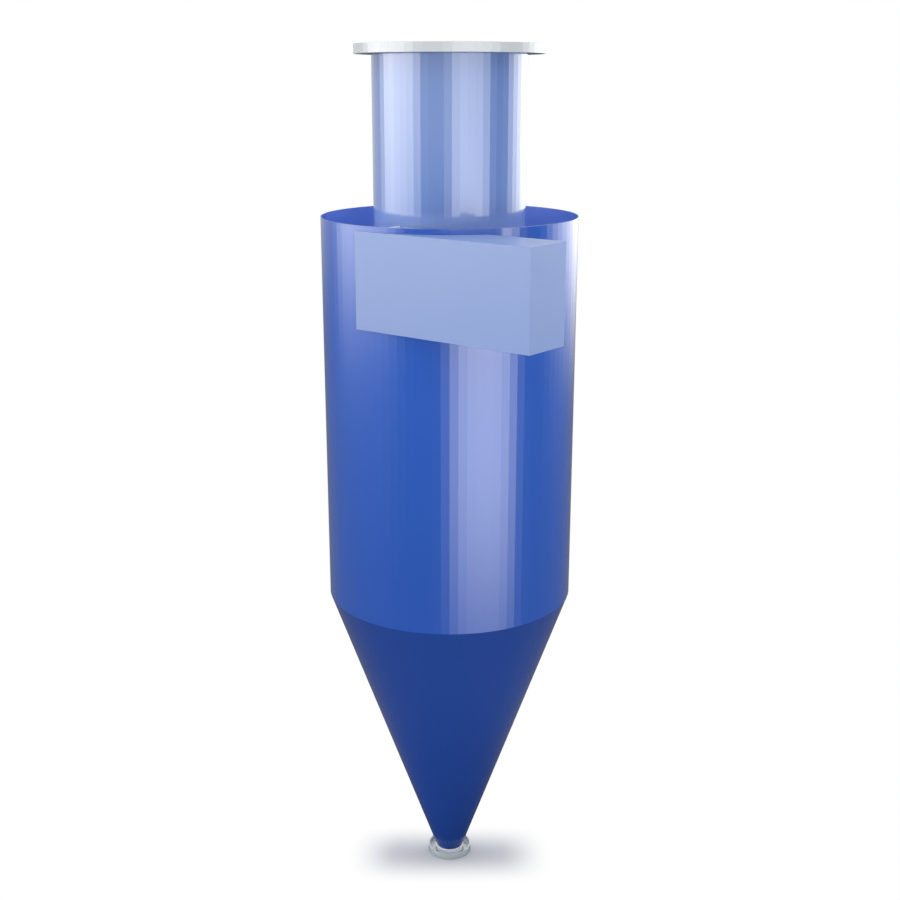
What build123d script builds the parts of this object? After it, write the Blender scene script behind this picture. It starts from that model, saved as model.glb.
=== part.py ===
"""Cyclone separator of rolled sheet steel, standing on its dust flange.

Millimetres, +Z up. The origin is the centre of the dust flange's lower face. The inlet duct runs
along X on the -Y side of the shell, and its mouth faces +X. Seen from above, the air turns clockwise.
"""

import os
from math import cos, radians, sin

from build123d import *

# Rolled body, outside sizes
shell_radius = 500.0
shell_height = 1544.0
lower_course_height = 772.0
cone_height = 1236.0
lower_gore_height = 560.0

# Angle of the first upright seam; the second is half a turn on
seam_angle = 38.0

# Exhaust pipe: how far it stands out of the shell, and how far it dips below the duct
pipe_radius = 295.0
pipe_above_rim = 634.0
pipe_below_duct = 220.0

# Inlet duct, outside sizes: its depth under the rim, the place of its mouth along X,
# and how far its outer side laps the shell past the tangent
duct_height = 360.0
duct_below_rim = 20.0
duct_reach = 732.0
duct_lap = 43.0

# Screw-shaped lid: its quarters, where its narrow tail ends, and the stretch trimmed off its top end
lid_quarters = 4
lid_tail = 45.0
lid_trim_angle = 3.0

# Dust outlet: the collar that carries the cone, and how far the cone's mouth sits in from its outside
outlet_radius = 54.5
collar_wall = 5.5
collar_height = 28.0
mouth_step = 2.0

# Sheet thicknesses
shell_sheet = 3.0
cone_sheet = 3.0
pipe_sheet = 3.0
duct_sheet = 3.0
lid_sheet = 3.0
cover_sheet = 3.0

# Exhaust flange: a ring on top of the pipe, its outer lip turned down
exhaust_leg = 66.0
exhaust_lip = 36.0
exhaust_plate = 5.0
exhaust_bolt_inset = 31.0
exhaust_bolt_count = 12
exhaust_hole_radius = 5.5

# Dust flange: a ring round the foot of the collar, its outer lip turned up
dust_leg = 33.0
dust_lip = 28.0
dust_plate = 5.0
dust_bolt_inset = 14.0
dust_bolt_count = 6
dust_hole_radius = 4.5

# Gap left at seats for a weld
seat_gap = 0.3

# Heights that follow
cone_top = collar_height + cone_height
rim = cone_top + shell_height
duct_top = rim - duct_below_rim
duct_bottom = duct_top - duct_height
pipe_top = rim + pipe_above_rim
pipe_bottom = duct_bottom - pipe_below_duct

# Radii and faces that follow
shell_bore = shell_radius - shell_sheet
pipe_seat = pipe_radius + seat_gap
collar_radius = outlet_radius + collar_wall
collar_seat = collar_radius + seat_gap
mouth_radius = collar_radius - mouth_step
duct_outer_face = -(shell_radius + seat_gap + duct_sheet)
duct_inner_face = -pipe_seat
duct_end = duct_reach - cover_sheet

os.makedirs("parts", exist_ok=True)


def rolled_plate(low, high, low_radius, high_radius, sheet, start_angle, arc):
    """Rolls a plate about Z from one height and outside radius to another."""
    slant = ((high - low) ** 2 + (high_radius - low_radius) ** 2) ** 0.5
    level_sheet = sheet * slant / (high - low)
    turn = radians(start_angle)
    upright = Plane(origin=(0, 0, 0), x_dir=(cos(turn), sin(turn), 0), z_dir=(sin(turn), -cos(turn), 0))
    with BuildPart() as plate:
        with BuildSketch(upright):
            with BuildLine():
                Polyline(
                    (low_radius, low),
                    (high_radius, high),
                    (high_radius - level_sheet, high),
                    (low_radius - level_sheet, low),
                    close=True,
                )
            make_face()
        revolve(axis=Axis.Z, revolution_arc=arc)
    return plate.part


def flat_plate(x_low, x_high, y_low, y_high, z_low, z_high):
    """Makes a flat plate, or a space of that shape, between two corners."""
    with BuildPart() as plate:
        with BuildSketch(Plane.XY.offset(z_low)):
            with Locations((x_low, y_low)):
                Rectangle(x_high - x_low, y_high - y_low, align=(Align.MIN, Align.MIN))
        extrude(amount=z_high - z_low)
    return plate.part


# Shell: two courses of two rolled plates, the upper inlet plate cut for the duct
shell_sides = {"far_side": seam_angle, "inlet_side": seam_angle + 180.0}
course_joint = cone_top + lower_course_height
duct_window = flat_plate(
    0,
    shell_radius,
    -shell_radius,
    -pipe_radius,
    duct_bottom - seat_gap,
    duct_top + seat_gap,
)
for side, start_angle in shell_sides.items():
    name = f"shell_lower_{side}"
    course = rolled_plate(
        cone_top, course_joint, shell_radius, shell_radius, shell_sheet, start_angle, 180.0
    )
    with BuildPart() as shell_lower:
        add(course)
    shell_lower.part.label = name
    export_step(shell_lower.part, f"parts/{name}.step")

    name = f"shell_upper_{side}"
    course = rolled_plate(course_joint, rim, shell_radius, shell_radius, shell_sheet, start_angle, 180.0)
    with BuildPart() as shell_upper:
        add(course)
        if side == "inlet_side":
            add(duct_window, mode=Mode.SUBTRACT)
    shell_upper.part.label = name
    export_step(shell_upper.part, f"parts/{name}.step")

# Cone: two courses of two gores
gore_joint = collar_height + lower_gore_height
joint_radius = mouth_radius + (shell_radius - mouth_radius) * lower_gore_height / cone_height
for side, start_angle in shell_sides.items():
    name = f"cone_lower_{side}"
    gore = rolled_plate(
        collar_height, gore_joint, mouth_radius, joint_radius, cone_sheet, start_angle, 180.0
    )
    with BuildPart() as cone_lower:
        add(gore)
    cone_lower.part.label = name
    export_step(cone_lower.part, f"parts/{name}.step")

    name = f"cone_upper_{side}"
    gore = rolled_plate(gore_joint, cone_top, joint_radius, shell_radius, cone_sheet, start_angle, 180.0)
    with BuildPart() as cone_upper:
        add(gore)
    cone_upper.part.label = name
    export_step(cone_upper.part, f"parts/{name}.step")

# Exhaust pipe, open at both ends
with BuildPart() as exhaust_pipe:
    with BuildSketch(Plane.XY.offset(pipe_bottom)):
        Circle(pipe_radius)
        Circle(pipe_radius - pipe_sheet, mode=Mode.SUBTRACT)
    extrude(amount=pipe_top - pipe_bottom)
exhaust_pipe.part.label = "exhaust_pipe"
export_step(exhaust_pipe.part, "parts/exhaust_pipe.step")

# Exhaust flange: its face is level with the pipe's top
exhaust_outside = pipe_seat + exhaust_leg
with BuildPart() as exhaust_flange:
    with BuildSketch(Plane.XZ):
        with BuildLine():
            Polyline(
                (pipe_seat, pipe_top),
                (exhaust_outside, pipe_top),
                (exhaust_outside, pipe_top - exhaust_lip),
                (exhaust_outside - exhaust_plate, pipe_top - exhaust_lip),
                (exhaust_outside - exhaust_plate, pipe_top - exhaust_plate),
                (pipe_seat, pipe_top - exhaust_plate),
                close=True,
            )
        make_face()
    revolve(axis=Axis.Z)
    with BuildSketch(Plane.XY.offset(pipe_top)):
        with PolarLocations(pipe_seat + exhaust_bolt_inset, exhaust_bolt_count):
            Circle(exhaust_hole_radius)
    extrude(amount=-exhaust_plate, mode=Mode.SUBTRACT)
exhaust_flange.part.label = "exhaust_flange"
export_step(exhaust_flange.part, "parts/exhaust_flange.step")

# Collar of the dust outlet
with BuildPart() as outlet_collar:
    with BuildSketch():
        Circle(collar_radius)
        Circle(outlet_radius, mode=Mode.SUBTRACT)
    extrude(amount=collar_height)
outlet_collar.part.label = "outlet_collar"
export_step(outlet_collar.part, "parts/outlet_collar.step")

# Dust flange: its face is level with the collar's foot
dust_outside = collar_seat + dust_leg
with BuildPart() as dust_flange:
    with BuildSketch(Plane.XZ):
        with BuildLine():
            Polyline(
                (collar_seat, 0),
                (dust_outside, 0),
                (dust_outside, dust_lip),
                (dust_outside - dust_plate, dust_lip),
                (dust_outside - dust_plate, dust_plate),
                (collar_seat, dust_plate),
                close=True,
            )
        make_face()
    revolve(axis=Axis.Z)
    with BuildSketch():
        with PolarLocations(collar_seat + dust_bolt_inset, dust_bolt_count):
            Circle(dust_hole_radius)
    extrude(amount=dust_plate, mode=Mode.SUBTRACT)
dust_flange.part.label = "dust_flange"
export_step(dust_flange.part, "parts/dust_flange.step")

# Inlet duct: the outer side laps the shell at the tangent, and the inner side reaches the pipe's
outer_side_back = duct_outer_face + duct_sheet
inner_side_front = duct_inner_face - duct_sheet
roof_bottom = duct_top - duct_sheet

plate = flat_plate(-duct_lap, duct_end, duct_outer_face, outer_side_back, duct_bottom, duct_top)
with BuildPart() as duct_outer_side:
    add(plate)
duct_outer_side.part.label = "duct_outer_side"
export_step(duct_outer_side.part, "parts/duct_outer_side.step")

plate = flat_plate(0, duct_end, inner_side_front, duct_inner_face, duct_bottom, roof_bottom)
with BuildPart() as duct_inner_side:
    add(plate)
duct_inner_side.part.label = "duct_inner_side"
export_step(duct_inner_side.part, "parts/duct_inner_side.step")

plate = flat_plate(0, duct_end, outer_side_back, duct_inner_face, roof_bottom, duct_top)
with BuildPart() as duct_roof:
    add(plate)
duct_roof.part.label = "duct_roof"
export_step(duct_roof.part, "parts/duct_roof.step")

# The floor stops at the inside of the shell
plate = flat_plate(0, duct_end, outer_side_back, inner_side_front, duct_bottom, duct_bottom + duct_sheet)
with BuildPart() as duct_floor:
    add(plate)
    with BuildSketch(Plane.XY.offset(duct_bottom)):
        Circle(shell_bore)
    extrude(amount=duct_sheet, mode=Mode.SUBTRACT)
duct_floor.part.label = "duct_floor"
export_step(duct_floor.part, "parts/duct_floor.step")

plate = flat_plate(duct_end, duct_reach, duct_outer_face, duct_inner_face, duct_bottom, duct_top)
with BuildPart() as inlet_cover:
    add(plate)
inlet_cover.part.label = "inlet_cover"
export_step(inlet_cover.part, "parts/inlet_cover.step")

# Lid: a screw surface between pipe and shell that sinks by the duct's height in one turn. It starts
# level with the duct's roof, at the roof's end, and runs out against the duct's inner side.
lid_outer = shell_bore - seat_gap
lid_width = lid_outer - pipe_seat
lid_middle = (lid_outer + pipe_seat) / 2
lid_start_angle = -90.0
quarter_turn = 360.0 / lid_quarters


def lid_sector(low_angle, high_angle):
    """Sweeps one stretch of the lid from its low end up to its high end."""
    low_height = duct_top - lid_sheet / 2 + duct_height * (low_angle - lid_start_angle) / 360.0
    rise = duct_height * (high_angle - low_angle) / 360.0
    outward = (cos(radians(low_angle)), sin(radians(low_angle)), 0)
    path = Helix(duct_height, rise, lid_middle).moved(Location((0, 0, low_height), (0, 0, low_angle)))
    with BuildPart() as sector:
        with BuildSketch(Plane(origin=path @ 0, x_dir=outward, z_dir=path % 0)):
            Rectangle(lid_width, lid_sheet)
        sweep(path=path, is_frenet=True)
    return sector.part


for number in range(lid_quarters):
    first = number == 0
    last = number == lid_quarters - 1
    high_angle = lid_start_angle - number * quarter_turn
    sector = lid_sector(high_angle - quarter_turn, high_angle + (lid_trim_angle if first else 0))
    name = f"lid_quarter_{number + 1}"
    with BuildPart() as lid_quarter:
        add(sector)
        if first:
            split(bisect_by=Plane.YZ.offset(-seat_gap), keep=Keep.BOTTOM)
        if last:
            split(bisect_by=Plane.XZ.offset(-duct_inner_face - seat_gap), keep=Keep.BOTTOM)
            split(bisect_by=Plane.YZ.offset(lid_tail), keep=Keep.TOP)
    lid_quarter.part.label = name
    export_step(lid_quarter.part, f"parts/{name}.step")
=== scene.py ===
"""Looks of a sheet-steel dust cyclone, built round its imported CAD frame.

The plates of shell, cone and pipe are folded from flats, as a press brake leaves them, and painted in
two blues. Everything is in metres, in the frame of the CAD model: +Z up, the origin under the middle of
the dust flange, the inlet duct along X on the -Y side with its mouth towards +X.
"""

from __future__ import annotations

import logging
import math
from contextlib import contextmanager
from dataclasses import dataclass, field
from enum import Enum
from typing import Callable, Iterator, Sequence

import bpy
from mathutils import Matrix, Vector

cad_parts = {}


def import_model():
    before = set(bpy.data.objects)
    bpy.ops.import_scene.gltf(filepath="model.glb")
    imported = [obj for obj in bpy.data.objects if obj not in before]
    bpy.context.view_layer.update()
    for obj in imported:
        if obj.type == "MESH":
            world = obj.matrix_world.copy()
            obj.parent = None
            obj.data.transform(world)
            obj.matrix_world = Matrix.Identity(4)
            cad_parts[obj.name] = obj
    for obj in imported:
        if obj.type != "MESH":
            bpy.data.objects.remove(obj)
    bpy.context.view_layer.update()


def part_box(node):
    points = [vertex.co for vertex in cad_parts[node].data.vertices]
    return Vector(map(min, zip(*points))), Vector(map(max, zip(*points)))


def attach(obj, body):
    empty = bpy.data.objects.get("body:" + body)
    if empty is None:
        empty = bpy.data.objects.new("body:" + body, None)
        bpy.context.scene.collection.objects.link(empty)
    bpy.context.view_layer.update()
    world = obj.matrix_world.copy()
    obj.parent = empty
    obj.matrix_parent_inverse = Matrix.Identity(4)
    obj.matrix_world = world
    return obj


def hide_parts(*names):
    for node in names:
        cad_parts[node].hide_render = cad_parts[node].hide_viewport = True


LOG = logging.getLogger("cyclone")
ROOT_BODY = "root"

Colour = tuple[float, float, float]
Point = tuple[float, float, float]

# Lengths that several pieces share, in metres
SHEET = 0.003
SEAT_GAP = 0.0003
OVERCUT = 0.01
MERGE_REACH = 1e-5

# Angles in radians
TURN_REACH = 1e-6
FIRST_FLAT = math.radians(0.3)
SOFT_EDGE = math.radians(30.0)

NOISE_MIDDLE = 0.5
WHITE = (1.0, 1.0, 1.0, 1.0)


class Slot(Enum):
    """The record's material slots."""

    DEEP_BLUE = "deep_blue_paint"
    LIGHT_BLUE = "light_blue_paint"
    GREY_FLANGE = "grey_flange_paint"
    PALE_COLLAR = "pale_collar_paint"


# Shader maths


@dataclass(frozen=True)
class Value:
    """A shader socket that takes part in Python expressions."""

    sheet: "NodeSheet"
    socket: bpy.types.NodeSocket

    def __add__(self, other: "Value | float") -> "Value":
        """Adds a value or a number."""
        return self.sheet.maths("ADD", self, other)

    def __radd__(self, other: float) -> "Value":
        """Adds this value to a number."""
        return self.sheet.maths("ADD", other, self)

    def __sub__(self, other: "Value | float") -> "Value":
        """Takes a value or a number away."""
        return self.sheet.maths("SUBTRACT", self, other)

    def __rsub__(self, other: float) -> "Value":
        """Takes this value away from a number."""
        return self.sheet.maths("SUBTRACT", other, self)

    def __mul__(self, other: "Value | float") -> "Value":
        """Multiplies by a value or a number."""
        return self.sheet.maths("MULTIPLY", self, other)

    def __rmul__(self, other: float) -> "Value":
        """Multiplies a number by this value."""
        return self.sheet.maths("MULTIPLY", other, self)

    def __truediv__(self, other: "Value | float") -> "Value":
        """Divides by a value or a number."""
        return self.sheet.maths("DIVIDE", self, other)


class NodeSheet:
    """The node tree of one material or world, with its maths."""

    def __init__(self, tree: bpy.types.NodeTree) -> None:
        """Empties a node tree and takes it over.

        Args:
            tree: the tree to write.
        """
        self.tree = tree
        self.tree.nodes.clear()

    def node(
        self, kind: str, settings: dict[str, object] | None = None, inputs: dict[str | int, object] | None = None
    ) -> bpy.types.Node:
        """Adds a node.

        Args:
            kind: the node's type, such as ShaderNodeMath.
            settings: the node's own properties, set first.
            inputs: the value or link of each named or numbered socket.

        Returns:
            The new node.
        """
        made = self.tree.nodes.new(kind)
        for name, value in (settings or {}).items():
            setattr(made, name, value)
        for name, value in (inputs or {}).items():
            socket = made.inputs[name]
            if isinstance(value, Value):
                self.tree.links.new(value.socket, socket)
            elif isinstance(value, bpy.types.NodeSocket):
                self.tree.links.new(value, socket)
            else:
                socket.default_value = value
        return made

    def value(self, made: bpy.types.Node, output: str | int = 0) -> Value:
        """Wraps one output of a node."""
        return Value(self, made.outputs[output])

    def coordinates(self, output: str) -> Value:
        """Reads the place or direction that is shaded."""
        return self.value(self.node("ShaderNodeTexCoord"), output)

    def axes(self, place: Value) -> tuple[Value, Value, Value]:
        """Splits a place or direction into X, Y and Z."""
        split = self.node("ShaderNodeSeparateXYZ", None, {0: place})
        return self.value(split, 0), self.value(split, 1), self.value(split, 2)

    def noise(self, place: Value, scale: float, detail: float) -> Value:
        """Adds a noise that goes up and down round its middle.

        Args:
            place: where it is read.
            scale: how many lumps it has in a metre.
            detail: how many finer layers it has.

        Returns:
            The noise.
        """
        inputs = {"Vector": place, "Scale": scale, "Detail": detail}
        return self.value(self.node("ShaderNodeTexNoise", None, inputs), "Fac")

    def maths(self, operation: str, *terms: Value | float) -> Value:
        """Adds a Math node.

        Args:
            operation: the node's operation.
            terms: its values, in order.

        Returns:
            The result.
        """
        inputs = dict(enumerate(terms))
        return self.value(self.node("ShaderNodeMath", {"operation": operation}, inputs))

    def hypot(self, first: Value, second: Value) -> Value:
        """Works out the long side over two sides at right angles."""
        return self.maths("SQRT", first * first + second * second)

    def ease(self, value: Value, low: float, high: float) -> Value:
        """Rises smoothly from 0 to 1 as a value goes from low to high.

        Args:
            value: the value.
            low: where the rise starts.
            high: where it ends.

        Returns:
            The rise.
        """
        made = self.node(
            "ShaderNodeMapRange",
            {"interpolation_type": "SMOOTHSTEP"},
            {"Value": value, "From Min": low, "From Max": high},
        )
        return self.value(made)

    def blend(self, factor: Value, start: Value | Colour, end: Value | Colour) -> Value:
        """Mixes two colours.

        Args:
            factor: 0 for the start and 1 for the end.
            start: a colour or a colour socket.
            end: a colour or a colour socket.

        Returns:
            The mixed colour.
        """
        inputs: dict[str | int, object] = {"Factor": factor}
        for number, colour in ((6, start), (7, end)):
            inputs[number] = colour if isinstance(colour, Value) else (*colour, 1.0)
        return self.value(self.node("ShaderNodeMix", {"data_type": "RGBA"}, inputs), 2)


# Finishes


@dataclass(frozen=True)
class GlossPaint:
    """Sprayed gloss paint on sheet steel: a faintly cloudy coat with fine orange peel under a clear gloss.

    Where the rise is given, the coat also goes from its colour to its cloud colour between those heights, a
    painted shade that changes with height, and the clouds keep their share of that. Where the bore is given,
    what lies nearer to the axis than that has the bore's painted shading: a colour that stands in for the light
    and shade that fall there. Where the foot is given, the foot's painted light, a paler colour, goes over into
    the coat's between those heights.
    """

    name: str
    slot: Slot
    colour: Colour
    cloud_colour: Colour
    # Painted light and shade: the rise, the bore and the foot change the coat's colour to stand in for light and
    # shade.
    rise: tuple[float, float] | None = None
    bore: float | None = None
    bore_painted_shading: Colour = (0.0, 0.0, 0.0)
    foot: tuple[float, float] | None = None
    foot_painted_light: Colour = (0.0, 0.0, 0.0)
    roughness: float = 0.26
    coat: float = 1.0
    coat_roughness: float = 0.05
    cloud_scale: float = 1.3
    cloud_detail: float = 2.0
    cloud_share: float = 0.5
    cloud_roughness: float = 0.04
    peel_scale: float = 380.0
    peel_detail: float = 1.0
    peel_strength: float = 0.12
    peel_depth: float = 0.00002

    def material(self) -> bpy.types.Material:
        """Makes the paint.

        Returns:
            The material.
        """
        made = bpy.data.materials.new(self.name)
        made.use_nodes = True
        sheet = NodeSheet(made.node_tree)
        place = sheet.coordinates("Object")
        cloud = sheet.noise(place, self.cloud_scale, self.cloud_detail)
        x, y, height = sheet.axes(place)
        shade = cloud
        # Painted shade: the coat's colour changes with height.
        if self.rise:
            shade = (cloud - NOISE_MIDDLE) * self.cloud_share + sheet.ease(height, *self.rise)
        coat = sheet.blend(shade, self.colour, self.cloud_colour)
        # Painted shading: inside the bore the coat takes a colour that stands in for the light and shade there.
        if self.bore:
            inside = sheet.maths("LESS_THAN", sheet.hypot(x, y), self.bore)
            coat = sheet.blend(inside, coat, self.bore_painted_shading)
        # Painted light: the foot's paler colour goes over into the coat as the height rises.
        if self.foot:
            coat = sheet.blend(sheet.ease(height, *self.foot), self.foot_painted_light, coat)
        peel = sheet.noise(place, self.peel_scale, self.peel_detail)
        bump = sheet.node(
            "ShaderNodeBump", None, {"Strength": self.peel_strength, "Distance": self.peel_depth, "Height": peel}
        )
        shader = sheet.node(
            "ShaderNodeBsdfPrincipled",
            None,
            {
                "Base Color": coat,
                "Roughness": (cloud - NOISE_MIDDLE) * self.cloud_roughness + self.roughness,
                "Coat Weight": self.coat,
                "Coat Roughness": self.coat_roughness,
                "Normal": sheet.value(bump),
            },
        )
        sheet.node("ShaderNodeOutputMaterial", None, {"Surface": shader.outputs[0]})
        return made


LIGHT_COAT: Colour = (0.116, 0.202, 0.468)
LIGHT_CLOUD: Colour = (0.123, 0.213, 0.484)


class Finish(Enum):
    """The paints on the cyclone, some with painted light and shade."""

    SHELL_BLUE = GlossPaint(
        "shell_blue_gloss",
        Slot.DEEP_BLUE,
        (0.0090, 0.0640, 0.338),
        (0.0125, 0.0870, 0.446),
        # Painted shade: the shell's blue is darker towards the foot and lighter towards the rim.
        rise=(1.1, 2.6),
        # Painted light: the shell's inside is a paler blue than its outside.
        bore=0.4985,
        bore_painted_shading=(0.17, 0.29, 0.78),
    )
    # Painted shade: the shell's deep blue made darker for the cone, whose slope faces down.
    CONE_BLUE = GlossPaint(
        "cone_blue_painted_shade_gloss",
        Slot.DEEP_BLUE,
        (0.0026, 0.0385, 0.235),
        (0.0034, 0.0415, 0.249),
        coat=0.6,
    )
    LIGHT_BLUE = GlossPaint("light_blue_gloss", Slot.LIGHT_BLUE, LIGHT_COAT, LIGHT_CLOUD)
    PIPE_BLUE = GlossPaint(
        "pipe_blue_gloss",
        Slot.LIGHT_BLUE,
        LIGHT_COAT,
        LIGHT_CLOUD,
        # Painted light: the pipe's blue turns paler towards its foot, where the shell's rim shades it.
        foot=(2.74, 2.86),
        foot_painted_light=(0.34, 0.46, 0.80),
    )
    DUCT_BLUE = GlossPaint(
        "duct_blue_satin",
        Slot.LIGHT_BLUE,
        (0.186, 0.270, 0.523),
        (0.194, 0.280, 0.539),
        roughness=0.36,
        coat=0.2,
    )
    FLANGE_GREY = GlossPaint(
        "flange_grey_gloss",
        Slot.GREY_FLANGE,
        (0.480, 0.510, 0.535),
        (0.500, 0.530, 0.555),
        coat=0.5,
    )
    FOOT_GREY = GlossPaint(
        "foot_grey_gloss",
        Slot.GREY_FLANGE,
        (0.385, 0.440, 0.475),
        (0.405, 0.460, 0.495),
        # Painted shade: inside its lip the ring's top face is a darker grey than the rest.
        bore=0.0832,
        bore_painted_shading=(0.25, 0.29, 0.305),
    )
    COLLAR_PALE = GlossPaint("collar_pale_gloss", Slot.PALE_COLLAR, (0.84, 0.85, 0.90), (0.86, 0.87, 0.92))


# Modelling with Blender's operators


class Bench:
    """One piece on the bench, shaped with Blender's own operators."""

    def __init__(self, name: str) -> None:
        """Takes over the primitive that was just added.

        Args:
            name: the piece's name.
        """
        self.piece = bpy.context.object
        self.piece.name = name
        self.piece.data.name = name

    @classmethod
    def section(cls, name: str, inner: float, outer: float, low: float, high: float) -> "Bench":
        """Stands a plate's section upright on the +X side.

        Args:
            name: the piece's name.
            inner: the smaller radius.
            outer: the larger radius.
            low: the lower height.
            high: the upper height.

        Returns:
            The bench that holds it.
        """
        clear_selection()
        bpy.ops.mesh.primitive_plane_add(size=1.0)
        bench = cls(name)
        with bench.editing():
            bpy.ops.mesh.select_all(action="SELECT")
            bpy.ops.transform.resize(value=(outer - inner, high - low, 1.0), center_override=(0, 0, 0))
            bpy.ops.transform.rotate(value=math.pi / 2, orient_axis="X", center_override=(0, 0, 0))
            bpy.ops.transform.translate(value=((inner + outer) / 2, 0, (low + high) / 2))
        return bench

    @classmethod
    def block(cls, name: str, low: Sequence[float], high: Sequence[float]) -> "Bench":
        """Lays a flat plate between two corners.

        Args:
            name: the piece's name.
            low: its lowest corner.
            high: its highest corner.

        Returns:
            The bench that holds it.
        """
        clear_selection()
        bpy.ops.mesh.primitive_cube_add(size=1.0)
        bench = cls(name)
        with bench.editing():
            bpy.ops.mesh.select_all(action="SELECT")
            bpy.ops.transform.resize(value=[b - a for a, b in zip(low, high)], center_override=(0, 0, 0))
            bpy.ops.transform.translate(value=[(a + b) / 2 for a, b in zip(low, high)])
        return bench

    @classmethod
    def tube(cls, name: str, sides: int, size: Point) -> "Bench":
        """Stands a short open tube on the origin.

        Args:
            name: the piece's name.
            sides: its number of sides.
            size: its reach along X and Y, and its height.

        Returns:
            The bench that holds it.
        """
        clear_selection()
        bpy.ops.mesh.primitive_cylinder_add(vertices=sides, radius=0.5, depth=1.0, end_fill_type="NOTHING")
        bench = cls(name)
        with bench.editing():
            bpy.ops.mesh.select_all(action="SELECT")
            bpy.ops.transform.resize(value=size, center_override=(0, 0, 0))
            bpy.ops.transform.translate(value=(0, 0, size[2] / 2))
        return bench

    def pick(self) -> None:
        """Selects the piece and nothing else."""
        clear_selection()
        self.piece.select_set(True)
        bpy.context.view_layer.objects.active = self.piece

    @contextmanager
    def editing(self) -> Iterator[None]:
        """Opens the piece in edit mode."""
        self.pick()
        bpy.ops.object.mode_set(mode="EDIT")
        yield
        bpy.ops.object.mode_set(mode="OBJECT")

    def pick_points(self, test: Callable[[Vector], bool]) -> None:
        """Selects the points whose place passes a test, in edit mode.

        Args:
            test: says of a place whether the point is wanted.
        """
        bpy.ops.mesh.select_mode(type="VERT")
        bpy.ops.mesh.select_all(action="DESELECT")
        bpy.ops.object.mode_set(mode="OBJECT")
        for point in self.piece.data.vertices:
            point.select = test(point.co)
        bpy.ops.object.mode_set(mode="EDIT")

    def shift(self, test: Callable[[Vector], bool], offset: Point) -> None:
        """Moves the points whose place passes a test.

        Args:
            test: says of a place whether the point is wanted.
            offset: how far they move.
        """
        with self.editing():
            self.pick_points(test)
            bpy.ops.transform.translate(value=offset)

    def round_corners(self, test: Callable[[Vector], bool], radius: float, segments: int = 2) -> None:
        """Rounds the corners of a section.

        Args:
            test: says of a place whether the corner is wanted.
            radius: how far the rounding reaches.
            segments: its number of steps.
        """
        with self.editing():
            self.pick_points(test)
            bpy.ops.mesh.bevel(offset=radius, segments=segments, affect="VERTICES")

    def spin(self, start: float, arc: float, steps: int) -> None:
        """Turns the section about Z into a plate or, over a full turn, into a ring.

        Args:
            start: the angle at which it starts, counter-clockwise from +X.
            arc: how far it turns.
            steps: the number of flats.
        """
        full = abs(arc - math.tau) < TURN_REACH
        with self.editing():
            bpy.ops.mesh.select_all(action="SELECT")
            if full:
                bpy.ops.mesh.delete(type="ONLY_FACE")
                bpy.ops.mesh.select_all(action="SELECT")
            bpy.ops.mesh.spin(steps=steps, angle=arc, use_auto_merge=full, center=(0, 0, 0), axis=(0, 0, -1))
        self.turn(start)
        self.close_up()

    def turn(self, angle: float, lean: float = 0.0, place: Point = (0.0, 0.0, 0.0)) -> None:
        """Turns and moves the whole piece, in its mesh.

        Args:
            angle: how far it turns about Z.
            lean: how far it first leans from Z towards X.
            place: where its origin goes.
        """
        self.pick()
        self.piece.location = place
        self.piece.rotation_euler = (0.0, lean, angle)
        bpy.ops.object.transform_apply(location=True, rotation=True, scale=True)

    def copy(self, name: str, angle: float, rise: float = 0.0) -> "Bench":
        """Copies the piece with its mesh.

        Args:
            name: the copy's name.
            angle: how far the copy turns about Z.
            rise: how far it goes up.

        Returns:
            The bench that holds the copy.
        """
        self.pick()
        bpy.ops.object.duplicate(linked=False)
        made = Bench(name)
        made.turn(angle, place=(0.0, 0.0, rise))
        return made

    def close_up(self) -> None:
        """Merges doubled points, fills open ends and points the faces outwards."""
        with self.editing():
            bpy.ops.mesh.select_all(action="SELECT")
            bpy.ops.mesh.remove_doubles(threshold=MERGE_REACH)
            bpy.ops.mesh.fill_holes(sides=0)
            bpy.ops.mesh.select_all(action="SELECT")
            bpy.ops.mesh.normals_make_consistent(inside=False)

    def cut(self, place: Point, normal: Point) -> None:
        """Cuts off what lies on the side that a plane's normal points to.

        Args:
            place: a point on the plane.
            normal: its normal.
        """
        with self.editing():
            bpy.ops.mesh.select_all(action="SELECT")
            bpy.ops.mesh.bisect(plane_co=place, plane_no=normal, use_fill=True, clear_outer=True)

    def apply(self, kind: str, **settings: object) -> None:
        """Adds a modifier and applies it.

        Args:
            kind: the modifier's type.
            settings: its values.
        """
        self.pick()
        modifier = self.piece.modifiers.new(kind.lower(), kind)
        for name, value in settings.items():
            setattr(modifier, name, value)
        bpy.ops.object.modifier_apply(modifier=modifier.name)

    def take_away(self, cutter: "Bench") -> None:
        """Cuts the shape of another piece out of this one, and throws that piece away."""
        self.apply("BOOLEAN", operation="DIFFERENCE", solver="EXACT", object=cutter.piece)
        bpy.data.objects.remove(cutter.piece, do_unlink=True)

    def drill(self, ring: float, holes: "BoltHoles", low: float, high: float) -> None:
        """Drills a ring of upright holes.

        Args:
            ring: the radius of the ring that they lie on.
            holes: their size and number.
            low: where the drill stops.
            high: where it starts.
        """
        place = (ring, 0.0, (low + high) / 2)
        clear_selection()
        bpy.ops.mesh.primitive_cylinder_add(
            vertices=holes.sides, radius=holes.radius, depth=high - low, location=place
        )
        bit = Bench("drill")
        bit.turn(0.0, place=place)
        for number in range(1, holes.count):
            self.take_away(bit.copy("drill", math.tau * number / holes.count))
        self.take_away(bit)

    def smooth(self, angle: float = SOFT_EDGE) -> None:
        """Shades the piece smooth, apart from the edges that turn by more than the angle."""
        self.pick()
        bpy.ops.object.shade_smooth_by_angle(angle=angle)

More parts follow.
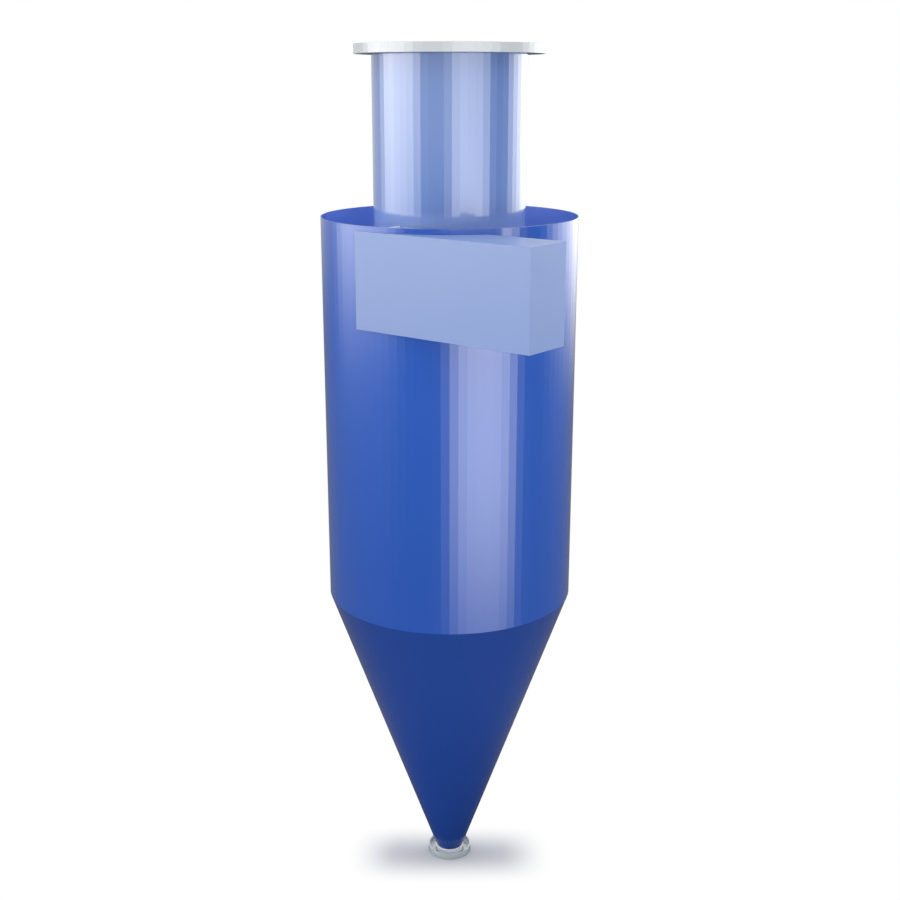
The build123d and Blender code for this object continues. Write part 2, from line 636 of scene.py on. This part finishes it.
    def dress(self, paint: Finish, *nodes: str) -> None:
        """Paints the piece, lets it ride, and lets it stand for its CAD nodes.

        Args:
            paint: its finish.
            nodes: the CAD nodes that it replaces.
        """
        self.piece.data.materials.clear()
        self.piece.data.materials.append(PAINTS[paint])
        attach(self.piece, ROOT_BODY)
        if nodes:
            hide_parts(*nodes)
        LOG.info("%s: %d faces, stands for %s", self.piece.name, len(self.piece.data.polygons), nodes or "no node")


def clear_selection() -> None:
    """Leaves edit mode and leaves nothing selected."""
    if bpy.context.object and bpy.context.object.mode != "OBJECT":
        bpy.ops.object.mode_set(mode="OBJECT")
    bpy.ops.object.select_all(action="DESELECT")


def extent(node: str, axis: int, end: int = 1) -> float:
    """Reads where a CAD node ends along one axis.

    Args:
        node: the node's name.
        axis: 0 for X, 1 for Y and 2 for Z.
        end: 0 for its low end and 1 for its high end.

    Returns:
        The coordinate in metres.
    """
    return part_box(node)[end][axis]


# Sub-assemblies


@dataclass
class RolledCourse:
    """One course of the shell or the cone: two half-round plates, pressed in narrow flats, and their welds."""

    name: str
    low: float
    high: float
    low_radius: float
    high_radius: float
    paint: Finish
    free_top: bool = False
    sheet: float = SHEET
    seam: float = math.radians(38.0)
    flats: int = 48
    free_edge: float = 0.0008

    def plate(self) -> Bench:
        """Rolls the plate that starts at the seam, its upper edge ground round where it is free.

        Returns:
            The bench that holds it.
        """
        rise = self.high - self.low
        flare = self.high_radius - self.low_radius
        level_sheet = self.sheet * math.hypot(rise, flare) / rise
        plate = Bench.section(
            f"{self.name}_far_side_plate", self.low_radius - level_sheet, self.low_radius, self.low, self.high
        )
        middle = (self.low + self.high) / 2
        plate.shift(lambda place: place.z > middle, (flare, 0.0, 0.0))
        if self.free_top:
            plate.round_corners(lambda place: place.z > middle, self.free_edge)
        plate.spin(self.seam, math.pi, self.flats)
        return plate

    def build(self, window: Callable[[], Bench] | None = None) -> None:
        """Builds both plates and the welds on both seams.

        Args:
            window: makes the space that is cut out of the inlet side, where there is one.
        """
        far_plate = self.plate()
        inlet_plate = far_plate.copy(f"{self.name}_inlet_side_plate", math.pi)
        if window:
            inlet_plate.take_away(window())
        far_weld = SeamWeld(self).bead()
        inlet_weld = far_weld.copy(f"{self.name}_inlet_side_weld", math.pi)
        far_plate.dress(self.paint, f"{self.name}_far_side")
        inlet_plate.dress(self.paint, f"{self.name}_inlet_side")
        far_weld.dress(self.paint)
        inlet_weld.dress(self.paint)


@dataclass
class SeamWeld:
    """The rippled weld bead on the seam where a rolled course starts, half sunk in the plates."""

    course: RolledCourse
    width: float = 0.006
    proud: float = 0.0013
    ripple: float = 0.005
    bulge: float = 1.22
    end_gap: float = 0.003
    sides: int = 8
    soft_edge: float = math.radians(60.0)

    def bead(self) -> Bench:
        """Lays the bead from the course's lower edge to its upper edge.

        Returns:
            The bench that holds it.
        """
        course = self.course
        rise, flare = course.high - course.low, course.high_radius - course.low_radius
        slant = math.hypot(rise, flare)
        count = round((slant - 2 * self.end_gap) / self.ripple)
        pitch = (slant - 2 * self.end_gap) / count
        bead = Bench.tube(
            f"{course.name}_far_side_weld", self.sides, (2 * self.proud / self.bulge, self.width / self.bulge, pitch)
        )
        with bead.editing():
            bpy.ops.mesh.select_all(action="SELECT")
            bpy.ops.mesh.bisect(plane_co=(0, 0, pitch / 2), plane_no=(0, 0, 1))
            bead.pick_points(lambda place: abs(place.z - pitch / 2) < MERGE_REACH)
            bpy.ops.transform.resize(value=(self.bulge, self.bulge, 1.0), center_override=(0, 0, 0))
        bead.apply(
            "ARRAY",
            count=count,
            relative_offset_displace=(0.0, 0.0, 1.0),
            use_merge_vertices=True,
            merge_threshold=MERGE_REACH,
        )
        bead.close_up()
        share = self.end_gap / slant
        radius = course.low_radius + flare * share
        foot = (radius * math.cos(course.seam), radius * math.sin(course.seam), course.low + rise * share)
        bead.turn(course.seam, math.atan2(flare, rise), foot)
        bead.smooth(self.soft_edge)
        return bead


@dataclass
class Shell:
    """The upright shell: two courses of two plates, the upper one cut for the duct."""

    radius: float = field(default_factory=lambda: extent("shell_upper_far_side", 1))
    foot: float = field(default_factory=lambda: extent("shell_lower_far_side", 2, 0))
    course_joint: float = field(default_factory=lambda: extent("shell_lower_far_side", 2))
    rim: float = field(default_factory=lambda: extent("shell_upper_far_side", 2))
    window_gap: float = SEAT_GAP

    def window(self) -> Bench:
        """Makes the space that the duct takes out of the shell.

        Returns:
            The bench that holds it.
        """
        gap = self.window_gap
        low = (0.0, -self.radius - OVERCUT, extent("duct_floor", 2, 0) - gap)
        high = (self.radius, extent("duct_roof", 1) + gap, extent("duct_roof", 2) + gap)
        return Bench.block("duct_window", low, high)

    def build(self) -> None:
        """Builds both courses."""
        radius, paint = self.radius, Finish.SHELL_BLUE
        lower = RolledCourse("shell_lower", self.foot, self.course_joint, radius, radius, paint)
        upper = RolledCourse("shell_upper", self.course_joint, self.rim, radius, radius, paint, free_top=True)
        lower.build()
        upper.build(self.window)


@dataclass
class Cone:
    """The cone under the shell: two courses of two gores."""

    foot: float = field(default_factory=lambda: extent("cone_lower_far_side", 2, 0))
    gore_joint: float = field(default_factory=lambda: extent("cone_lower_far_side", 2))
    top: float = field(default_factory=lambda: extent("cone_upper_far_side", 2))
    mouth_step: float = 0.002
    joint_radius: float = field(default_factory=lambda: extent("cone_lower_far_side", 1))
    top_radius: float = field(default_factory=lambda: extent("cone_upper_far_side", 1))

    def build(self) -> None:
        """Builds both courses, the mouth a step narrower than the collar."""
        # The cone's darker blue is painted shade.
        paint = Finish.CONE_BLUE
        mouth_radius = extent("outlet_collar", 0) - self.mouth_step
        RolledCourse("cone_lower", self.foot, self.gore_joint, mouth_radius, self.joint_radius, paint).build()
        RolledCourse("cone_upper", self.gore_joint, self.top, self.joint_radius, self.top_radius, paint).build()


@dataclass
class Pipe:
    """A round pipe or ring, turned in flats."""

    node: str
    paint: Finish
    wall: float
    smooth: bool = False
    flats: int = 64
    free_edge: float = 0.0008

    def build(self) -> None:
        """Builds the pipe."""
        outer = extent(self.node, 0)
        low, high = extent(self.node, 2, 0), extent(self.node, 2)
        pipe = Bench.section(f"{self.node}_tube", outer - self.wall, outer, low, high)
        pipe.round_corners(lambda place: True, self.free_edge)
        pipe.spin(FIRST_FLAT, math.tau, self.flats)
        if self.smooth:
            pipe.smooth()
        pipe.dress(self.paint, self.node)


class Lip(Enum):
    """The way a flange's outer lip is turned."""

    UP = "up"
    DOWN = "down"


@dataclass(frozen=True)
class BoltHoles:
    """A ring of bolt holes: how far it lies outside the flange's bore, and the holes' size and number."""

    inset: float
    radius: float
    count: int
    sides: int = 24


@dataclass
class LippedFlange:
    """A flat ring on the end of a pipe with its outer lip turned, drilled for bolts."""

    node: str
    pipe: str
    lip: Lip
    holes: BoltHoles
    paint: Finish
    smooth: bool = False
    plate: float = 0.005
    flats: int = 64
    rounding: float = 0.0012
    inside_rounding: float = 0.003
    inside_steps: int = 4

    def build(self) -> None:
        """Builds the ring."""
        bore, outer = extent(self.pipe, 0) + SEAT_GAP, extent(self.node, 0)
        low, high = extent(self.node, 2, 0), extent(self.node, 2)
        lip_up = self.lip is Lip.UP
        face_low, face_high = (low, low + self.plate) if lip_up else (high - self.plate, high)
        ring = Bench.section(f"{self.node}_ring", bore, outer, face_low, face_high)
        lip_face = outer - self.plate
        root = face_high if lip_up else face_low
        with ring.editing():
            bpy.ops.mesh.select_all(action="SELECT")
            bpy.ops.mesh.bisect(plane_co=(lip_face, 0, 0), plane_no=(1, 0, 0))
            ring.pick_points(lambda place: place.x > lip_face - MERGE_REACH and abs(place.z - root) < MERGE_REACH)
            reach = (high - face_high) if lip_up else (low - face_low)
            bpy.ops.mesh.extrude_region_move(TRANSFORM_OT_translate={"value": (0, 0, reach)})
            bpy.ops.mesh.select_all(action="SELECT")
            bpy.ops.mesh.dissolve_faces()
        inside = Vector((lip_face, 0.0, root))
        ring.round_corners(lambda place: (place - inside).length > MERGE_REACH, self.rounding)
        ring.round_corners(
            lambda place: (place - inside).length < MERGE_REACH, self.inside_rounding, self.inside_steps
        )
        ring.spin(FIRST_FLAT, math.tau, self.flats)
        ring.drill(bore + self.holes.inset, self.holes, face_low - OVERCUT, face_high + OVERCUT)
        if self.smooth:
            ring.smooth()
        ring.dress(self.paint, self.node)


@dataclass
class InletDuct:
    """The rectangular duct: four plates and the panel that closes its mouth."""

    plates: tuple[str, ...] = ("duct_outer_side", "duct_inner_side", "duct_roof", "duct_floor", "inlet_cover")
    edge: float = 0.0004
    shell_bore: float = field(default_factory=lambda: extent("shell_upper_far_side", 1) - SHEET)
    bore_sides: int = 192
    bore_depth: float = 0.1

    def build(self) -> None:
        """Builds the plates, the floor cut to the shell's bore."""
        for node in self.plates:
            low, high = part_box(node)
            if node == "duct_floor":
                low = (0.0, low[1], low[2])
            plate = Bench.block(f"{node}_sheet", low, high)
            if node == "duct_floor":
                clear_selection()
                bpy.ops.mesh.primitive_cylinder_add(
                    vertices=self.bore_sides, radius=self.shell_bore, depth=self.bore_depth, location=(0, 0, low[2])
                )
                plate.take_away(Bench("shell_bore"))
            plate.apply("BEVEL", width=self.edge, segments=2, limit_method="ANGLE")
            plate.dress(Finish.DUCT_BLUE, node)


@dataclass
class ScrewLid:
    """The screw-shaped lid between pipe and shell, in quarters that sink by the duct's height in a turn."""

    quarters: int = 4
    sheet: float = SHEET
    steps: int = 48
    start: float = math.radians(-90.0)
    weld_leg: float = 0.005
    weld_bite: float = 0.0002
    weld_flatness: float = 0.42
    outer: float = field(default_factory=lambda: extent("shell_upper_far_side", 1) - SHEET - SEAT_GAP)
    pipe_seat: float = field(default_factory=lambda: extent("exhaust_pipe", 0) + SEAT_GAP)
    top: float = field(default_factory=lambda: extent("duct_roof", 2))
    sink: float = field(default_factory=lambda: extent("duct_outer_side", 2) - extent("duct_outer_side", 2, 0))

    @property
    def quarter(self) -> float:
        """The angle of a quarter."""
        return math.tau / self.quarters

    @property
    def step_down(self) -> float:
        """How far a quarter sinks."""
        return self.sink / self.quarters

    def screw(self, bench: Bench) -> Bench:
        """Draws a section along the first quarter, from the roof down.

        Args:
            bench: the bench that holds the section.

        Returns:
            The same bench.
        """
        bench.apply(
            "SCREW",
            axis="Z",
            angle=-self.quarter,
            screw_offset=-self.step_down,
            steps=self.steps,
            render_steps=self.steps,
        )
        bench.turn(self.start)
        bench.close_up()
        return bench

    def repeat(self, first: Bench, kind: str, count: int) -> list[Bench]:
        """Copies the first quarter's piece to the quarters under it.

        Args:
            first: the bench that holds the first quarter's piece.
            kind: the last word of each copy's name.
            count: the number of quarters that have the piece.

        Returns:
            The pieces, from the roof down.
        """
        copies = [
            first.copy(f"lid_quarter_{number + 1}_{kind}", -number * self.quarter, -number * self.step_down)
            for number in range(1, count)
        ]
        return [first, *copies]

    def fillet(self, kind: str, inner: float, outer: float, free: float) -> Bench:
        """Lays a fillet weld along one edge of the first quarter.

        Args:
            kind: the last word of the weld's name.
            inner: the weld's inner radius.
            outer: its outer radius.
            free: the radius at which its free corner lies, the inner or the outer one.

        Returns:
            The bench that holds it.
        """
        low = self.top - self.weld_bite
        weld = Bench.section(f"lid_quarter_1_{kind}", inner, outer, low, low + self.weld_leg)
        pull = self.weld_leg * self.weld_flatness
        weld.shift(
            lambda place: abs(place.x - free) < MERGE_REACH and place.z > low + MERGE_REACH,
            (pull if free == inner else -pull, 0.0, -pull),
        )
        return self.screw(weld)

    def build(self) -> None:
        """Builds the quarters from the roof down, and the welds on those that show."""
        section = Bench.section("lid_quarter_1_plate", self.pipe_seat, self.outer, self.top - self.sheet, self.top)
        plates = self.repeat(self.screw(section), "plate", self.quarters)
        last = f"lid_quarter_{self.quarters}"
        plates[-1].cut((0.0, extent(last, 1, 0), 0.0), (0.0, -1.0, 0.0))
        plates[-1].cut((extent(last, 0, 0), 0.0, 0.0), (-1.0, 0.0, 0.0))
        plates[-1].close_up()
        inner, outer = self.pipe_seat, self.outer
        shell_weld = self.fillet("shell_weld", outer - self.weld_leg, outer, outer - self.weld_leg)
        pipe_weld = self.fillet("pipe_weld", inner, inner + self.weld_leg, inner + self.weld_leg)
        welds = self.repeat(shell_weld, "shell_weld", self.quarters - 1)
        welds += self.repeat(pipe_weld, "pipe_weld", self.quarters - 1)
        for number, plate in enumerate(plates):
            plate.smooth()
            plate.dress(Finish.LIGHT_BLUE, f"lid_quarter_{number + 1}")
        for weld in welds:
            weld.smooth()
            weld.dress(Finish.LIGHT_BLUE)


@dataclass(frozen=True)
class Panel:
    """A soft light panel far off.

    Its bearing from the camera is in degrees, and so are the half-widths of its bright core and its whole
    reach. It sets in over the foot's sines of elevation and ends over the head's.
    """

    bearing: float
    core: float
    reach: float
    foot: tuple[float, float]
    head: tuple[float, float]
    power: float


@dataclass(frozen=True)
class Glow:
    """Light from all round that sets in as the sine of elevation rises from low to high."""

    low: float
    high: float
    power: float


@dataclass(frozen=True)
class Ground:
    """The pale floor: near the foot a soft ellipse of grey is a painted shadow, in which the cyclone's real
    shadow also falls, and further off it fades to white.

    The painted shadow fades out over its width on both sides and over its depth before and behind a line that
    lies behind the axis by shadow_rear, and the bow narrows it towards its ends. Gloss paint mirrors the floor in
    the mirrored colour, with a white sheen that sets in at a distance from the axis.
    """

    radius: float = 2.6
    sides: int = 96
    drop: float = 0.0005
    # The grey inside the painted shadow; the real shadow darkens it further.
    colour: Colour = (0.413, 0.424, 0.465)
    mirrored: Colour = (0.04, 0.04, 0.045)
    shadow_rear: float = 0.045
    shadow_bow: float = 0.2
    shadow_width: tuple[float, float] = (0.22, 0.46)
    shadow_depth: tuple[float, float] = (0.0, 0.235)
    sheen: float = 0.07
    sheen_rise: tuple[float, float] = (0.25, 1.0)


@dataclass
class Studio:
    """Camera, floor and surroundings."""

    distance: float = 5.0327
    azimuth: float = math.radians(38.0)
    height: float = 3.3066
    pitch: float = math.radians(16.06)
    sensor: float = 36.0
    lens: float = 51.207
    shift: float = 0.0005
    glossy_white: float = 0.03
    ground: Ground = Ground()
    ambient: float = 0.15
    overhead: Glow = Glow(low=0.6, high=0.95, power=0.8)
    panels: tuple[Panel, ...] = (
        Panel(bearing=-80.0, core=5.0, reach=45.0, foot=(-0.24, 0.01), head=(0.05, 0.25), power=5.6),
        Panel(bearing=-20.0, core=20.0, reach=60.0, foot=(-0.10, -0.02), head=(0.05, 0.25), power=1.1),
        Panel(bearing=-150.0, core=50.0, reach=110.0, foot=(-0.20, -0.03), head=(0.05, 0.25), power=0.5),
        Panel(bearing=31.0, core=4.0, reach=39.5, foot=(-0.485, -0.276), head=(-0.05, 0.2), power=4.3),
        Panel(bearing=130.0, core=5.0, reach=43.0, foot=(-0.25, -0.02), head=(0.02, 0.18), power=3.1),
        Panel(bearing=10.0, core=40.0, reach=100.0, foot=(0.25, 0.45), head=(0.75, 0.95), power=0.6),
        Panel(bearing=-80.0, core=20.0, reach=70.0, foot=(0.25, 0.45), head=(0.75, 0.95), power=1.3),
        Panel(bearing=100.0, core=20.0, reach=70.0, foot=(0.25, 0.45), head=(0.75, 0.95), power=1.5),
        Panel(bearing=-170.0, core=40.0, reach=80.0, foot=(0.25, 0.45), head=(0.75, 0.95), power=2.0),
    )

    def camera(self) -> None:
        """Stands the camera where the photograph was taken from."""
        data = bpy.data.cameras.new("camera")
        data.sensor_width = self.sensor
        data.lens = self.lens
        data.shift_x = self.shift
        made = bpy.data.objects.new("camera", data)
        bpy.context.scene.collection.objects.link(made)
        made.location = (
            self.distance * math.sin(self.azimuth),
            -self.distance * math.cos(self.azimuth),
            self.height,
        )
        made.rotation_euler = (math.pi / 2 - self.pitch, 0.0, self.azimuth)
        bpy.context.scene.camera = made

    def rays(self, sheet: NodeSheet) -> tuple[Value, Value]:
        """Tells apart the rays that see the studio and those that mirror it.

        Args:
            sheet: the node tree that needs them.

        Returns:
            1 for a ray that sees the studio straight or through glass, and 1 for a ray that mirrors it.
        """
        path = sheet.node("ShaderNodeLightPath")
        seen = sheet.value(path, "Is Camera Ray") + sheet.value(path, "Is Transmission Ray")
        return seen, sheet.value(path, "Is Glossy Ray")

    def surroundings(self) -> None:
        """Sets the soft panels that light the cyclone, and the white that the camera sees."""
        world = bpy.data.worlds.new("studio")
        world.use_nodes = True
        bpy.context.scene.world = world
        sheet = NodeSheet(world.node_tree)
        x, y, z = sheet.axes(sheet.coordinates("Generated"))
        level = sheet.hypot(x, y)
        glow = self.overhead
        light = sheet.ease(z, glow.low, glow.high) * glow.power + self.ambient
        for panel in self.panels:
            turn = self.azimuth - math.pi / 2 + math.radians(panel.bearing)
            along = (x * math.cos(turn) + y * math.sin(turn)) / level
            wide = sheet.ease(along, math.cos(math.radians(panel.reach)), math.cos(math.radians(panel.core)))
            tall = sheet.ease(z, *panel.foot) * (1.0 - sheet.ease(z, *panel.head))
            light = light + wide * tall * panel.power
        seen, mirrored = self.rays(sheet)
        white = seen + mirrored * self.glossy_white
        studio = sheet.node("ShaderNodeBackground", None, {"Color": WHITE, "Strength": light})
        plain = sheet.node("ShaderNodeBackground", None, {"Color": WHITE, "Strength": 1.0})
        mixed = sheet.node("ShaderNodeMixShader", None, {0: white, 1: studio.outputs[0], 2: plain.outputs[0]})
        sheet.node("ShaderNodeOutputWorld", None, {"Surface": mixed.outputs[0]})

    def floor(self) -> None:
        """Lays a pale floor that takes the cyclone's shadow under a painted shadow near the foot, and fades to
        white.
        """
        ground = self.ground
        clear_selection()
        bpy.ops.mesh.primitive_circle_add(
            vertices=ground.sides, radius=ground.radius, fill_type="NGON", location=(0, 0, -ground.drop)
        )
        made = bpy.context.object
        made.name = "floor"
        paint = bpy.data.materials.new("pale_floor")
        paint.use_nodes = True
        sheet = NodeSheet(paint.node_tree)
        x, y, _ = sheet.axes(sheet.coordinates("Object"))
        across = x * math.cos(self.azimuth) + y * math.sin(self.azimuth)
        deep = y * math.cos(self.azimuth) - x * math.sin(self.azimuth) + ground.shadow_rear
        bow = across * ground.shadow_bow
        # Painted shadow: inside this soft ellipse round the foot the floor keeps its grey, darker than the white
        # beyond.
        beside = sheet.ease(sheet.maths("ABSOLUTE", across), *ground.shadow_width)
        before = sheet.ease(sheet.hypot(deep, bow), *ground.shadow_depth)
        painted_shadow_fade = 1.0 - (1.0 - beside) * (1.0 - before)
        seen, mirrored = self.rays(sheet)
        apart = sheet.ease(sheet.hypot(x, y), *ground.sheen_rise)
        white = seen + mirrored * (apart * ground.sheen + self.glossy_white)
        near = sheet.node("ShaderNodeBsdfDiffuse", None, {"Color": (*ground.colour, 1.0)})
        tone = sheet.blend(mirrored, ground.colour, ground.mirrored)
        dim = sheet.node("ShaderNodeBsdfDiffuse", None, {"Color": tone})
        plain = sheet.node("ShaderNodeEmission", None, {"Color": WHITE, "Strength": 1.0})
        shown = sheet.node("ShaderNodeMixShader", None, {0: painted_shadow_fade, 1: near.outputs[0], 2: plain.outputs[0]})
        mixed = sheet.node("ShaderNodeMixShader", None, {0: white, 1: dim.outputs[0], 2: shown.outputs[0]})
        sheet.node("ShaderNodeOutputMaterial", None, {"Surface": mixed.outputs[0]})
        made.data.materials.append(paint)


PAINTS: dict[Finish, bpy.types.Material] = {}
COLLAR_WALL = 0.0055
EXHAUST_HOLES = BoltHoles(inset=0.031, radius=0.0055, count=12)
DUST_HOLES = BoltHoles(inset=0.014, radius=0.0045, count=6)


def main() -> None:
    """Builds the cyclone's looks."""
    logging.basicConfig(level=logging.INFO, format="%(name)s: %(message)s")
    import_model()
    bpy.context.scene.view_settings.view_transform = "Standard"
    studio = Studio()
    studio.camera()
    studio.surroundings()
    studio.floor()
    PAINTS.update({paint: paint.value.material() for paint in Finish})
    Shell().build()
    Cone().build()
    Pipe("exhaust_pipe", Finish.PIPE_BLUE, wall=SHEET).build()
    Pipe("outlet_collar", Finish.COLLAR_PALE, wall=COLLAR_WALL, smooth=True).build()
    LippedFlange("exhaust_flange", "exhaust_pipe", Lip.DOWN, EXHAUST_HOLES, Finish.FLANGE_GREY).build()
    LippedFlange("dust_flange", "outlet_collar", Lip.UP, DUST_HOLES, Finish.FOOT_GREY, smooth=True).build()
    InletDuct().build()
    ScrewLid().build()


if __name__ == "__main__":
    main()
